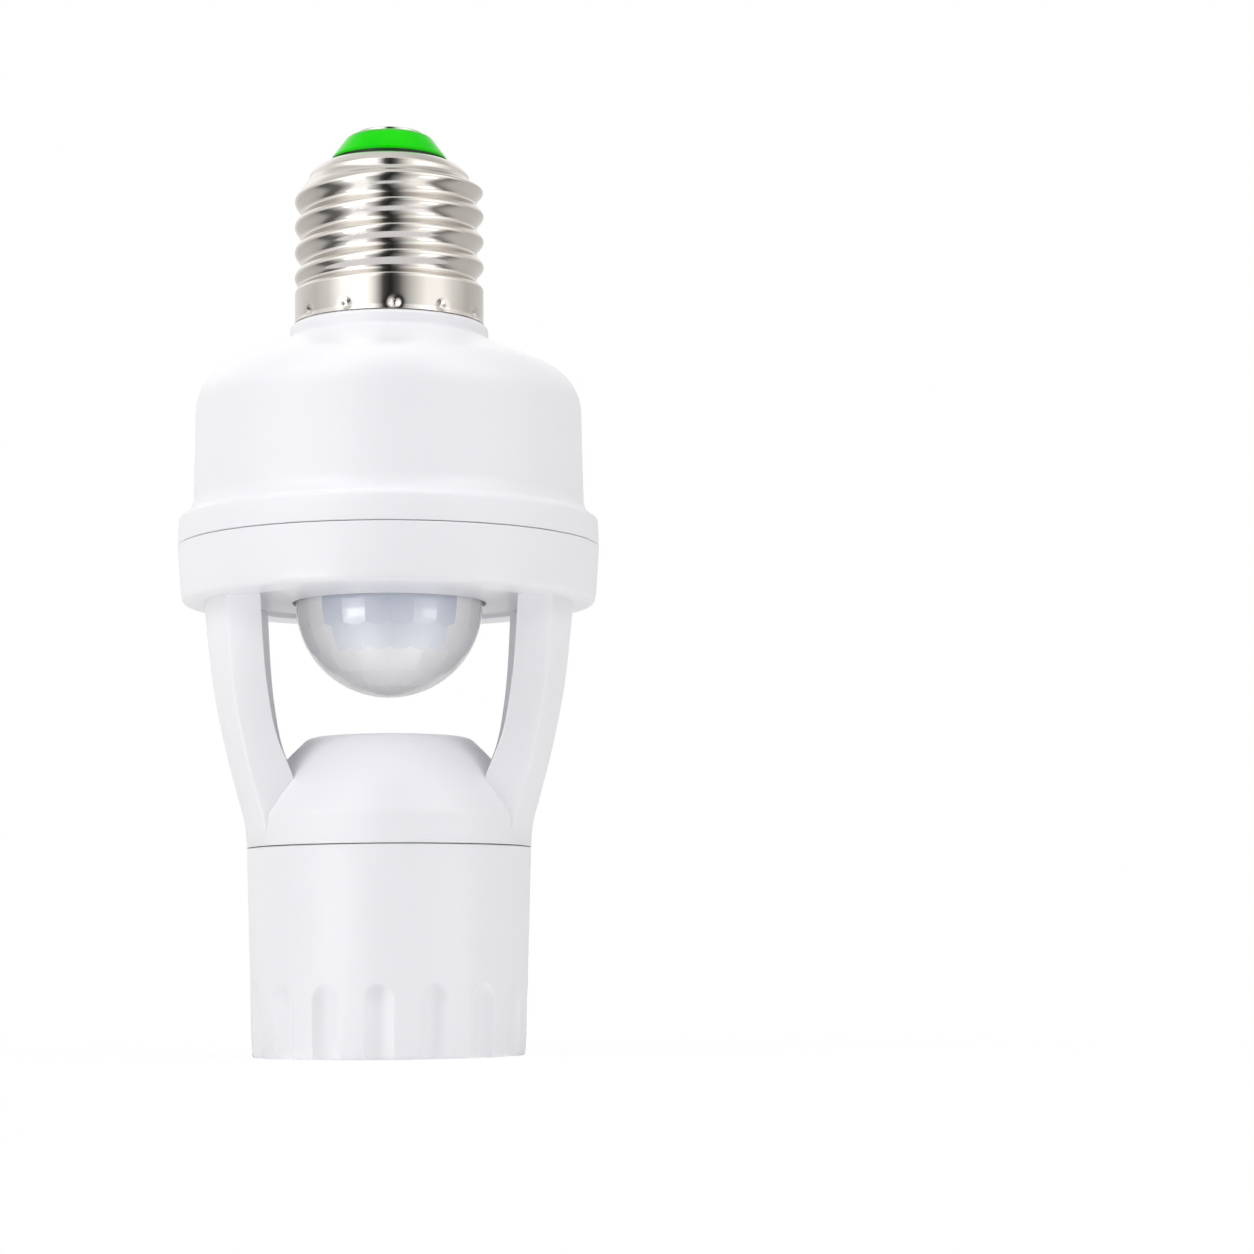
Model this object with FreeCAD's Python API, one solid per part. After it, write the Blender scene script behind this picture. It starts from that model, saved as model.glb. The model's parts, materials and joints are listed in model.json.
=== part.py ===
import FreeCAD, Part
import math
import os

# Motion sensor lamp holder for a screw lamp, modelled standing on the mouth of its socket.
# All sizes are in millimetres. Z is the common axis, with the screw cap at the top.
# The origin is the middle of the socket's mouth, and -Y is the front.

# Driving dimensions
THREAD_PITCH = 3.629
CAP_CREST = 13.2
THREAD_DEPTH = 1.0
SHEET = 0.3
CAP_BOTTOM = 100.9
TOP_EDGE = 9.3
TOP_HEIGHT = 123.3
TOP_SLOPE = 0.5
BEAD_HOLE = 7.9
BEAD_TOP = 128.0
STEM = 1.3
FIRST_CREST = 108.5
CAP_TURNS = 4
SKIRT = 13.15
CRIMPS = 12
CRIMP_RADIUS = 0.9
CRIMP_DEPTH = 0.4
CRIMP_HEIGHT = 101.9

FLANGE = 29.0
BELL_WALL = 2.0
SEAM = 69.7
LIP_DEPTH = 2.8
RING_BOTTOM = 61.85
CEILING = 62.6
FLOOR_TOP = 64.6
RECESS = 22.25
LENS_HOLE = 13.35

DOME = 12.9
DOME_CENTRE = 61.9
DOME_WALL = 0.7

ARM_FOOT = 28.3
ARM_ROUNDING = 0.5
CONE_TOP = 44.0
DUCT_WIDTH = 3.4

CUP_TOP = 28.2
CUP_RIM = 18.57
CUP_SHOULDER = 19.43
FLUTES = 16
FLUTE_START = -4.1
FLUTE_WIDTH = 4.0
FLUTE_DEPTH = 0.6
FLUTE_TOP = 9.7

CORE_RADIUS = 16.6
CORE_BORE = 13.95
CORE_FACE = 24.0
CORE_TOP = 30.0
SOCKET_CREST = 13.5
SOCKET_FIRST = 6.2
SOCKET_TURNS = 4
TERMINAL = 8.8
RIVET = 1.5

BOARD_RADIUS = 22.5
BOARD_BOTTOM = 69.4
BOARD_THICK = 1.6
BOARD_TOP = BOARD_BOTTOM + BOARD_THICK
POST_CIRCLE = 20.2
POST_ANGLES = (45, 165, 285)

WIRE = 0.65

Z_AXIS = FreeCAD.Vector(0, 0, 1)


def place(r, z):
    return FreeCAD.Vector(r, 0, z)


def outline(start, steps):
    """Closed wire in the XZ plane. A step is a point, or a pair: a point on an arc and its end."""
    edges = []
    here = place(*start)
    for step in list(steps) + [start]:
        if isinstance(step[0], tuple):
            there = place(*step[1])
            edges.append(Part.Arc(here, place(*step[0]), there).toShape())
        else:
            there = place(*step)
            if there.distanceToPoint(here) > 1e-6:
                edges.append(Part.LineSegment(here, there).toShape())
        here = there
    return Part.Wire(edges)


def turned(start, *steps):
    """Solid of revolution about Z from an outline given as radius and height."""
    face = Part.Face(outline(start, steps))
    return face.revolve(FreeCAD.Vector(0, 0, 0), Z_AXIS, 360)


def block(x, y, z, length, width, height):
    """Box centred on x and y that starts at height z."""
    corner = FreeCAD.Vector(x - length / 2, y - width / 2, z)
    return Part.makeBox(length, width, height, corner)


def rod(x, y, z, radius, height):
    return Part.makeCylinder(radius, height, FreeCAD.Vector(x, y, z))


def polar(radius, angle, z):
    turn = math.radians(angle)
    return FreeCAD.Vector(radius * math.cos(turn), radius * math.sin(turn), z)


def wave(crest, first, turns, downward):
    """Arcs of a rolled thread section, from the lowest root up, or from the highest root down."""
    middle = crest - THREAD_DEPTH / 2
    root = crest - THREAD_DEPTH
    quarter = THREAD_PITCH / 4
    steps = []
    for turn in range(turns):
        top = first + turn * THREAD_PITCH
        steps.append(((crest, top), (middle, top + quarter)))
        if turn < turns - 1:
            steps.append(((root, top + 2 * quarter), (middle, top + 3 * quarter)))
    if not downward:
        return (middle, first - quarter), steps
    points = [(middle, first - quarter)] + [step[1] for step in steps]
    back = [(steps[i][0], points[i]) for i in reversed(range(len(steps)))]
    return points[-1], back


def tube(name, points, radius):
    """Wire of straight runs joined by tangent arcs, each as large as its runs allow."""
    stops = [FreeCAD.Vector(*p) for p in points]
    edges = []
    radii = []
    here = stops[0]
    for before, corner, after in zip(stops, stops[1:], stops[2:]):
        back = before - corner
        ahead = after - corner
        setback = 0.45 * min(back.Length, ahead.Length)
        back.normalize()
        ahead.normalize()
        half_turn = (math.pi - back.getAngle(ahead)) / 2
        bend = setback / math.tan(half_turn)
        start = corner + back * setback
        end = corner + ahead * setback
        inward = (back + ahead).normalize()
        middle = corner + inward * (bend / math.cos(half_turn) - bend)
        edges.append(Part.LineSegment(here, start).toShape())
        edges.append(Part.Arc(start, middle, end).toShape())
        radii.append(round(bend, 1))
        here = end
    edges.append(Part.LineSegment(here, stops[-1]).toShape())
    path = Part.Wire(edges)
    circle = Part.Wire(Part.makeCircle(radius, stops[0], stops[1] - stops[0]))
    solid = path.makePipeShell([circle], True, True)
    print(name, "radii", radii, "volume ratio",
          round(solid.Volume / (math.pi * radius ** 2 * path.Length), 4))
    return solid


def crimp_balls(radius):
    """Balls on the punch marks round the skirt of the cap."""
    centre = SKIRT + CRIMP_RADIUS - CRIMP_DEPTH
    step = 360 / CRIMPS
    return [Part.makeSphere(radius, polar(centre, 3 - 90 + step * k, CRIMP_HEIGHT))
            for k in range(CRIMPS)]


def cap_shell():
    """Pressed sheet cap with a rolled thread, a plain crimped skirt and a folded-in top."""
    low, rise = wave(CAP_CREST, FIRST_CREST, CAP_TURNS, False)
    high, fall = wave(CAP_CREST - SHEET, FIRST_CREST, CAP_TURNS, True)
    skirt_in = SKIRT - SHEET
    hole_top = TOP_HEIGHT + (TOP_EDGE - BEAD_HOLE) * TOP_SLOPE
    shell = turned(
        (SKIRT + 0.15, CAP_BOTTOM), (SKIRT, CAP_BOTTOM + 0.7), (SKIRT, 105.4),
        ((12.75, 106.1), (12.3, 106.6)), ((12.26, 107.2), low), *rise,
        ((12.0, 120.9), (11.3, 121.6)), (11.1, 122.3), ((10.5, 123.0), (TOP_EDGE, TOP_HEIGHT)),
        (BEAD_HOLE, hole_top), (BEAD_HOLE, hole_top - SHEET), (TOP_EDGE, TOP_HEIGHT - SHEET),
        ((10.3, 122.75), (10.8, 122.2)), (11.0, 121.5), ((11.75, 120.8), high), *fall,
        ((11.96, 107.2), (12.0, 106.6)), ((12.5, 106.0), (skirt_in, 105.4)),
        (skirt_in, CAP_BOTTOM + 0.7), (skirt_in + 0.15, CAP_BOTTOM))
    inside = Part.makeCylinder(SKIRT - SHEET / 2, 4, place(0, CAP_BOTTOM))
    dents = [ball.common(inside) for ball in crimp_balls(CRIMP_RADIUS + SHEET)]
    return shell.fuse(dents).cut(crimp_balls(CRIMP_RADIUS))


def cap_insulator():
    """Glass-like bead that closes the top of the cap and carries the end contact."""
    flange = 8.6
    under = TOP_HEIGHT - SHEET
    return turned(
        (STEM, 121.0), (6.5, 121.0), (flange, 122.0),
        (flange, under + (TOP_EDGE - flange) * TOP_SLOPE),
        (BEAD_HOLE, under + (TOP_EDGE - BEAD_HOLE) * TOP_SLOPE),
        (BEAD_HOLE, 124.6), ((7.8, 124.95), (7.5, 125.3)), (5.85, 127.6),
        ((5.55, 127.9), (5.1, BEAD_TOP)), (STEM, BEAD_TOP))


def cap_tip_contact():
    """End contact: a low disc with a hollow rivet stem through the bead."""
    return turned(
        (WIRE, 119.5), (STEM, 119.5), (STEM, BEAD_TOP), (4.8, BEAD_TOP), (4.8, BEAD_TOP + 0.25),
        ((4.7, BEAD_TOP + 0.4), (4.5, BEAD_TOP + 0.45)), (0, BEAD_TOP + 0.5), (0, 127.4),
        (WIRE, 127.4))


def bell_housing():
    """Upper cover: neck under the cap, collar, rounded shoulder, straight wall and flange."""
    seat = SKIRT - SHEET
    lip_out = 26.8
    lip_in = lip_out - BELL_WALL
    lip_end = SEAM - LIP_DEPTH
    bell = turned(
        (9.6, 112.0), (11.2, 112.0), (11.6, 111.4), (11.6, 106.6), (seat, 105.0),
        (seat, 100.6), (13.4, 100.6), ((13.68, 100.5), (13.78, 100.2)), (13.78, 99.1),
        ((13.82, 98.75), (14.1, 98.5)), ((19.2, 96.1), (24.0, 93.6)),
        ((26.0, 91.6), (26.65, 88.6)), ((26.85, 82.0), (26.95, 76.6)),
        ((27.15, 75.2), (28.0, 74.15)), ((28.75, 73.8), (FLANGE, 73.0)),
        (FLANGE + 0.05, SEAM + 0.3), (FLANGE - 0.2, SEAM), (lip_out, SEAM),
        (lip_out, lip_end + 1.4), ((lip_out + 0.3, lip_end + 0.9), (lip_out, lip_end + 0.4)),
        (lip_out - 0.4, lip_end), (lip_in, lip_end), (lip_in, 77.0),
        ((24.8, 82.0), (24.6, 88.4)), ((24.0, 90.6), (22.6, 92.0)),
        ((18.2, 94.3), (13.4, 96.3)), ((10.6, 97.8), (9.6, 100.2)))
    return bell.cut(crimp_balls(CRIMP_RADIUS + SHEET))


def arm_pair():
    """The two curved arms, cut from one turned wall by a waisted plate along X."""
    wall = turned(
        (25.5, CEILING), ((23.95, 49.6), (20.6, 34.9)), ((19.72, 31.4), (CUP_SHOULDER, ARM_FOOT)),
        (15.6, ARM_FOOT), (15.6, 37.3), (16.4, 37.3), ((20.0, 48.9), (21.9, CEILING)))
    side = [(-10.2, ARM_FOOT), (-10.4, 34.9), (-11.1, 43.1), (-13.3, CEILING)]
    corners = [FreeCAD.Vector(-30, y, z) for y, z in side]
    mirror = [FreeCAD.Vector(-30, -y, z) for y, z in reversed(side)]
    edges = [Part.LineSegment(corners[0], corners[1]).toShape(),
             Part.Arc(corners[1], corners[2], corners[3]).toShape(),
             Part.LineSegment(corners[3], mirror[0]).toShape(),
             Part.Arc(mirror[0], mirror[1], mirror[2]).toShape(),
             Part.LineSegment(mirror[2], mirror[3]).toShape(),
             Part.LineSegment(mirror[3], corners[0]).toShape()]
    plate = Part.Face(Part.Wire(edges)).extrude(FreeCAD.Vector(60, 0, 0))
    arms = wall.common(plate)
    sides = [edge for edge in arms.Edges
             if edge.BoundBox.ZLength > 4 and abs(edge.BoundBox.Center.y) > 5
             and abs(edge.BoundBox.Center.x) > 16]
    return arms.makeFillet(ARM_ROUNDING, sides)


def wire_ducts():
    """Channels that carry the lamp wires down inside both arms."""
    channel = turned(
        (24.2, FLOOR_TOP + 0.5), (24.2, 60.0), ((22.9, 49.3), (20.1, 38.4)), (18.3, 33.6),
        (16.4, 29.0), (14.0, 29.0), (14.0, 35.0), (16.6, 36.2), ((21.0, 49.0), (22.5, 60.0)),
        (22.5, FLOOR_TOP + 0.5))
    mouths = [block(side * 22.6, 0, 62.9, 3.6, DUCT_WIDTH, 3) for side in (-1, 1)]
    return channel.common(block(0, 0, 28, 60, DUCT_WIDTH, 42)).fuse(mouths)


def yoke():
    """Lower moulding: flanged ring, sensor floor, two arms and the hollow cone over the socket."""
    lip_out = 26.8
    lip_end = SEAM - LIP_DEPTH
    ring = turned(
        (lip_out, SEAM - 0.1), (FLANGE - 0.2, SEAM - 0.1), (FLANGE + 0.05, SEAM - 0.4),
        (28.6, 63.4), ((28.3, 62.3), (27.4, RING_BOTTOM)), (RECESS, RING_BOTTOM),
        (RECESS, CEILING), (LENS_HOLE + 1.1, CEILING), (LENS_HOLE + 0.9, RING_BOTTOM + 0.1),
        (LENS_HOLE, RING_BOTTOM + 0.1), (LENS_HOLE, FLOOR_TOP), (24.8, FLOOR_TOP),
        (24.8, lip_end), (lip_out - 0.4, lip_end), (lip_out, lip_end + 0.4),
        ((lip_out + 0.3, lip_end + 0.9), (lip_out, lip_end + 1.4)))
    cone = turned(
        (CUP_SHOULDER, ARM_FOOT), (18.75, 32.2), ((18.6, 33.5), (18.1, 34.8)), (13.7, 40.6),
        ((13.3, 41.2), (12.9, 41.7)), ((12.0, 43.3), (10.2, CONE_TOP)), (0, CONE_TOP),
        (0, 41.8), (9.0, 41.8), (11.4, 40.0), (15.6, 34.4), (16.7, 31.5), (16.7, ARM_FOOT))
    body = ring.fuse([arm_pair(), cone])
    chamber = turned((0, ARM_FOOT), (16.7, ARM_FOOT), (16.7, 31.5), (15.6, 34.4), (11.4, 40.0),
                     (9.0, 41.8), (0, 41.8))
    body = body.cut([wire_ducts(), chamber])
    posts = []
    holes = []
    for angle in POST_ANGLES:
        foot = polar(POST_CIRCLE, angle, FLOOR_TOP - 0.2)
        posts.append(Part.makeCylinder(2.2, BOARD_BOTTOM - FLOOR_TOP + 0.2, foot))
        holes.append(Part.makeCylinder(0.9, 6, polar(POST_CIRCLE, angle, FLOOR_TOP)))
    return body.fuse(posts).cut(holes).removeSplitter()


def sensor_lens():
    """Thin milky dome with a flange that lies on the floor round its hole."""
    out = DOME
    inner = DOME - DOME_WALL
    half = math.sqrt(0.5)
    top = FLOOR_TOP + 0.8
    return turned(
        (0, DOME_CENTRE - out), ((out * half, DOME_CENTRE - out * half), (out, DOME_CENTRE)),
        (out, FLOOR_TOP), (15.4, FLOOR_TOP), (15.4, top), (inner, top), (inner, DOME_CENTRE),
        ((inner * half, DOME_CENTRE - inner * half), (0, DOME_CENTRE - inner)))


def lens_retainer():
    """Ring that presses the lens flange down, with a stepped rim that centres it."""
    low = FLOOR_TOP + 0.8
    return turned(
        (DOME - DOME_WALL, low), (15.4, low), (15.4, FLOOR_TOP), (17.2, FLOOR_TOP),
        (17.2, low + 1.4), ((17.0, low + 1.8), (16.6, low + 2.0)), (14.0, low + 2.0),
        (DOME - DOME_WALL, low + 0.8))


def pir_sensor():
    """Flanged metal can of the heat sensor, open at the window."""
    can = turned(
        (0, 60.6), (4.0, 60.6), ((4.4, 60.7), (4.5, 61.1)), (4.5, 64.0), (4.75, 64.0),
        (4.75, 64.6), (0, 64.6))
    tab = block(4.9, 0, 64.0, 1.2, 1.0, 0.6)
    return can.fuse(tab).cut(block(0, 0, 60.0, 4.0, 3.0, 1.1))


def pir_window():
    return block(0, 0, 60.6, 4.0, 3.0, 0.5)


def sensor_spacer():
    """Plastic spacer that holds the sensor down at the middle of the dome."""
    tower = turned(
        (1.2, 64.6), (5.2, 64.6), (5.2, 66.0), (4.4, 67.0), (4.4, BOARD_BOTTOM),
        (1.2, BOARD_BOTTOM))
    ribs = [block(0, 0, 66.4, 11.2, 1.2, BOARD_BOTTOM - 66.4),
            block(0, 0, 66.4, 1.2, 11.2, BOARD_BOTTOM - 66.4)]
    bore = Part.makeCylinder(1.2, 10, place(0, 64))
    return tower.fuse(ribs).cut(bore)


def photocell():
    """Light cell beside the sensor, on its two stiff legs."""
    disc = rod(8.2, 0, 62.4, 2.1, 2.0)
    legs = [rod(8.2, y, 64.4, 0.3, BOARD_BOTTOM - 64.4) for y in (-1.2, 1.2)]
    return disc.fuse(legs)


def circuit_board():
    """Round board with screw holes and two wire cut-outs over the arms."""
    board = rod(0, 0, BOARD_BOTTOM, BOARD_RADIUS, BOARD_THICK)
    holes = [Part.makeCylinder(1.2, 4, polar(POST_CIRCLE, a, BOARD_BOTTOM - 1))
             for a in POST_ANGLES]
    notches = [block(side * BOARD_RADIUS, 0, BOARD_BOTTOM - 1, 4.4, 4.4, 4) for side in (-1, 1)]
    return board.cut(holes + notches)


def board_screw(angle):
    """Pan head screw that holds the board on its post."""
    head = turned((0, BOARD_TOP), (1.9, BOARD_TOP), (1.9, BOARD_TOP + 0.7),
                  ((1.4, BOARD_TOP + 1.25), (0, BOARD_TOP + 1.4)))
    slot = block(0, 0, BOARD_TOP + 0.8, 4.0, 0.6, 1.0)
    shank = rod(0, 0, FLOOR_TOP + 0.6, 0.9, BOARD_TOP - FLOOR_TOP - 0.6)
    screw = head.cut(slot).fuse(shank)
    screw.translate(polar(POST_CIRCLE, angle, 0))
    return screw


def film_capacitor():
    body = block(-8.5, 9.0, BOARD_TOP, 13.0, 6.0, 11.0)
    return body.makeFillet(0.8, [edge for edge in body.Edges if edge.BoundBox.ZMin > BOARD_TOP])


def electrolytic(x, y, radius, height):
    """Radial can with a rolled groove near its foot."""
    low = BOARD_TOP
    can = turned(
        (0, low), (radius - 0.3, low), (radius, low + 0.3), (radius, low + 1.3),
        ((radius - 0.35, low + 1.7), (radius, low + 2.1)), (radius, low + height - 0.4),
        (radius - 0.4, low + height), (0, low + height))
    can.translate(FreeCAD.Vector(x, y, 0))
    return can


def relay():
    body = block(5.5, -9.5, BOARD_TOP, 19.0, 12.0, 15.0)
    return body.makeFillet(0.6, [edge for edge in body.Edges if edge.BoundBox.ZMin > BOARD_TOP])


def control_chip():
    """Small flat chip with four legs on each long side."""
    chip = block(5.0, 1.5, BOARD_TOP + 0.15, 5.0, 3.9, 1.45)
    legs = [block(5.0 + 1.27 * k, 1.5, BOARD_TOP, 0.4, 6.0, 0.3) for k in (-1.5, -0.5, 0.5, 1.5)]
    return chip.fuse(legs)


def axial_part(x, y, radius, length):
    """Diode or resistor lying on the board, with its leads bent down at both ends."""
    height = BOARD_TOP + radius
    along = FreeCAD.Vector(1, 0, 0)
    body = Part.makeCylinder(radius, length, FreeCAD.Vector(x - length / 2, y, height), along)
    reach = length / 2 + 1.4
    lead = Part.makeCylinder(0.35, 2 * reach, FreeCAD.Vector(x - reach, y, height), along)
    legs = [rod(x + side * (reach - 0.35), y, BOARD_TOP, 0.35, radius + 0.35) for side in (-1, 1)]
    return body.fuse([lead] + legs)


def socket_cup():
    """Lower shell round the socket: tapered wall with sixteen grip flutes at its mouth."""
    cup = turned(
        (CORE_RADIUS, CUP_TOP), (CUP_SHOULDER, CUP_TOP), ((19.12, 17.2), (CUP_RIM + 0.05, 0.4)),
        ((CUP_RIM - 0.05, 0.1), (CUP_RIM - 0.35, 0)), (CORE_RADIUS + 0.3, 0), (CORE_RADIUS - 0.2, 0.5),
        (CORE_RADIUS - 0.2, 3.0), (CORE_RADIUS, 3.0))
    side = FLUTE_WIDTH / 2
    depth = FLUTE_DEPTH - side ** 2 / (2 * CUP_RIM)
    hollow = (side ** 2 + depth ** 2) / (2 * depth)
    centre = CUP_RIM + hollow - FLUTE_DEPTH
    straight = FLUTE_TOP - side
    flutes = []
    for k in range(FLUTES):
        angle = FLUTE_START - 90 + k * 360 / FLUTES
        drum = Part.makeCylinder(hollow, straight + 1, polar(centre, angle, -1))
        end = Part.makeSphere(hollow, polar(centre, angle, straight))
        flutes.append(drum.fuse(end))
    return cup.cut(flutes)


def socket_core():
    """Insulating insert: a sleeve round the screw shell and a base for the contacts."""
    core = turned(
        (CORE_BORE, 3.0), (CORE_RADIUS, 3.0), (CORE_RADIUS, CORE_TOP), (14.6, CORE_TOP),
        (14.6, 28.4), (0, 28.4), (0, CORE_FACE), (CORE_BORE, CORE_FACE))
    pocket = block(-1.2, 0, CORE_FACE - 1, 10.6, 7.0, 3.2)
    rivet_holes = [rod(x, 0, CORE_FACE - 1, RIVET, 8) for x in (-TERMINAL, TERMINAL)]
    vents = [rod(x, y, CORE_FACE - 1, 1.2, 8) for x in (-6, 6) for y in (-9, 9)]
    return core.cut([pocket] + vents).cut(rivet_holes)


def screw_shell():
    """Rolled sheet shell that takes the lamp's cap, with a lead-in at its mouth."""
    thick = 0.4
    tab = block(10.2, 0, CORE_FACE - thick, 5.4, 4.6, thick)
    hole = rod(TERMINAL, 0, CORE_FACE - 1, RIVET, 2)
    low, rise = wave(SOCKET_CREST, SOCKET_FIRST, SOCKET_TURNS, False)
    high, fall = wave(SOCKET_CREST - thick, SOCKET_FIRST, SOCKET_TURNS, True)
    shell = turned(
        (13.9, 3.4), ((13.3, 4.4), low), *rise, (12.9, CORE_FACE - thick), (12.9, CORE_FACE),
        (10.6, CORE_FACE), (10.6, CORE_FACE - thick), (12.5, CORE_FACE - thick),
        high, *fall, ((12.9, 4.3), (13.5, 3.4)))
    return shell.fuse(tab).cut(hole)


def shell_terminal():
    """Riveted tab that carries the neutral wire to the screw shell."""
    stem = rod(TERMINAL, 0, CORE_FACE - 0.6, RIVET, 5.0)
    low_head = rod(TERMINAL, 0, CORE_FACE - 0.9, 2.3, 0.5)
    head = rod(TERMINAL, 0, 28.4, 2.4, 0.8)
    tab = block(10.6, 0, 28.4, 5.0, 3.0, 0.6)
    post = block(12.4, 0, 28.4, 1.2, 3.0, 3.4)
    return stem.fuse([low_head, head, tab, post])


def contact_terminal():
    """Riveted tab above the base, with the fixed foot of the centre contact below it."""
    stem = rod(-TERMINAL, 0, CORE_FACE, RIVET, 4.4)
    head = rod(-TERMINAL, 0, 28.4, 2.4, 0.8)
    tab = block(-10.6, 0, 28.4, 5.0, 3.0, 0.6)
    post = block(-12.4, 0, 28.4, 1.2, 3.0, 3.4)
    foot = block(-8.4, 0, CORE_FACE - 0.5, 3.5, 4.4, 0.5)
    return stem.fuse([head, tab, post, foot])


def centre_contact():
    """Springy strip that bears on the lamp's end contact, raised to a button at its tip."""
    strip = [(-6.4, 24.0), (-6.4, 23.5), (-3.2, 22.2), (-1.6, 21.4), (0, 21.0), (1.6, 21.4),
             (3.0, 22.6), (3.0, 23.1), (1.4, 21.9), (0, 21.5), (-1.4, 21.9), (-3.0, 22.7),
             (-6.0, 24.0)]
    points = [FreeCAD.Vector(x, -2.2, z) for x, z in strip]
    edges = [Part.LineSegment(a, b).toShape() for a, b in zip(points, points[1:] + points[:1])]
    return Part.Face(Part.Wire(edges)).extrude(FreeCAD.Vector(0, 4.4, 0))


def line_wire():
    """From the stem of the end contact down through the neck to the board."""
    return tube("line_wire", [(0, 0, 127.4), (0, 0, 118.5), (-0.9, 0.5, 110.5), (-2.6, 1.4, 102.5),
                              (-4.1, 0.6, 94.5), (-3.9, -1.2, 86.5), (-2.6, -1.8, 78.5),
                              (-2.6, -1.8, BOARD_TOP)], WIRE)


def neutral_wire():
    """From the inside of the cap down through the neck to the board."""
    return tube("neutral_wire", [(12.69, 0, 115.76), (8.4, 0, 115.4), (7.0, 0.6, 109.5),
                                 (6.6, 0.4, 102.0), (5.4, 2.6, 94.0), (5.8, 5.6, 86.0),
                                 (6.8, 7.0, 78.5), (6.8, 7.0, BOARD_TOP)], WIRE)


def lamp_wire(name, side):
    """From the board's underside down inside an arm to a terminal over the socket base."""
    return tube(name, [(side * 19.6, 0, BOARD_BOTTOM), (side * 19.6, 0, 67.4),
                       (side * 22.5, 0, 66.0), (side * 23.5, 0, 61.5), (side * 22.9, 0, 54.9),
                       (side * 21.7, 0, 48.3), (side * 20.2, 0, 42.4), (side * 18.2, 0, 37.2),
                       (side * 16.2, 0, 30.8), (side * 13.0, 0, 30.8)], WIRE)


def main():
    os.makedirs("parts", exist_ok=True)
    nodes = {
        "cap_shell": cap_shell(),
        "cap_insulator": cap_insulator(),
        "cap_tip_contact": cap_tip_contact(),
        "bell_housing": bell_housing(),
        "yoke": yoke(),
        "sensor_lens": sensor_lens(),
        "lens_retainer": lens_retainer(),
        "pir_sensor": pir_sensor(),
        "pir_window": pir_window(),
        "sensor_spacer": sensor_spacer(),
        "photocell": photocell(),
        "circuit_board": circuit_board(),
        "film_capacitor": film_capacitor(),
        "electrolytic_large": electrolytic(-14.0, -4.5, 4.0, 12.0),
        "electrolytic_small": electrolytic(12.6, 6.0, 3.15, 7.0),
        "relay": relay(),
        "control_chip": control_chip(),
        "line_wire": line_wire(),
        "neutral_wire": neutral_wire(),
        "lamp_line_wire": lamp_wire("lamp_line_wire", -1),
        "lamp_neutral_wire": lamp_wire("lamp_neutral_wire", 1),
        "socket_cup": socket_cup(),
        "socket_core": socket_core(),
        "screw_shell": screw_shell(),
        "shell_terminal": shell_terminal(),
        "contact_terminal": contact_terminal(),
        "centre_contact": centre_contact(),
    }
    for number, angle in enumerate(POST_ANGLES, 1):
        nodes["board_screw_%d" % number] = board_screw(angle)
    for number, y in enumerate((-13.0, -16.0), 1):
        nodes["diode_%d" % number] = axial_part(-8.5, y, 1.3, 4.4)
    for number, y in enumerate((14.5, 17.0), 1):
        nodes["resistor_%d" % number] = axial_part(0.5, y, 1.0, 5.0)
    for name, shape in nodes.items():
        if len(shape.Solids) != 1 or not shape.isValid():
            print("look at", name, len(shape.Solids), shape.isValid())
        shape.exportStep("parts/" + name + ".step")
    print(len(nodes), "pieces")


main()
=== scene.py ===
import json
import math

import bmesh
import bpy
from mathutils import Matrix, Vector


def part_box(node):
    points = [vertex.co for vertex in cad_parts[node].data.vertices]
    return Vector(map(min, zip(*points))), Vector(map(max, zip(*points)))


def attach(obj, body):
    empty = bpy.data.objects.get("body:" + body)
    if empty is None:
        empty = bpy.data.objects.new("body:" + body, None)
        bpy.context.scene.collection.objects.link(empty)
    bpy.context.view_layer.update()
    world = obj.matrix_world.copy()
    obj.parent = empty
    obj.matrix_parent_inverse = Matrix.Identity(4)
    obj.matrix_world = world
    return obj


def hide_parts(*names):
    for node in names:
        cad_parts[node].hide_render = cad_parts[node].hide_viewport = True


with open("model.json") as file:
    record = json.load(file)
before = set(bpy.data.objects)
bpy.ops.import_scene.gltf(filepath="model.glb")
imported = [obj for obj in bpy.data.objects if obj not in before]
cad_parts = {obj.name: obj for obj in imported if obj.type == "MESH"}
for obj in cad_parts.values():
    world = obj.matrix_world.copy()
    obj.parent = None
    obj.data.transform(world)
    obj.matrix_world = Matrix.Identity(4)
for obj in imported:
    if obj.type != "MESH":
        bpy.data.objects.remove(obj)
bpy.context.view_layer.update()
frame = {"nodes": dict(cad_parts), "record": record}

# %% [markdown]
# A motion sensor lamp holder screws into a ceiling socket and carries a lamp below it.
# From the top it has a metal screw cap, a white bell, a flanged ring with a milky sensor dome,
# two arms, and a cup with the lamp's socket. The solid model gives every size and place.
# Here each visible part is modelled again with fine edges and gets its real finish.
# Outlines are written in millimetres, as radius and height, and scaled to metres once.

MM = 0.001


def low(node):
    """Lowest height of a solid, in millimetres."""
    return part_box(node)[0].z / MM


def high(node):
    """Highest height of a solid, in millimetres."""
    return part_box(node)[1].z / MM


# %% [markdown]
# The camera comes first, because it decides how much detail each part needs.
# It stands low, a little above the table, 430 mm in front, and looks slightly upwards, so the
# underside of the ring shows and the vertical lines close in gently. It is turned a little to
# the right, and rolled by half a degree, so that the object stands left of the middle, upright.

# %% Camera
CAMERA_DISTANCE = 430.26 * MM
CAMERA_HEIGHT = 12.54 * MM
CAMERA_LENS = 89.55
CAMERA_YAW = math.radians(4.379)
CAMERA_PITCH = math.radians(6.118)
CAMERA_ROLL = math.radians(-0.474)

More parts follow.
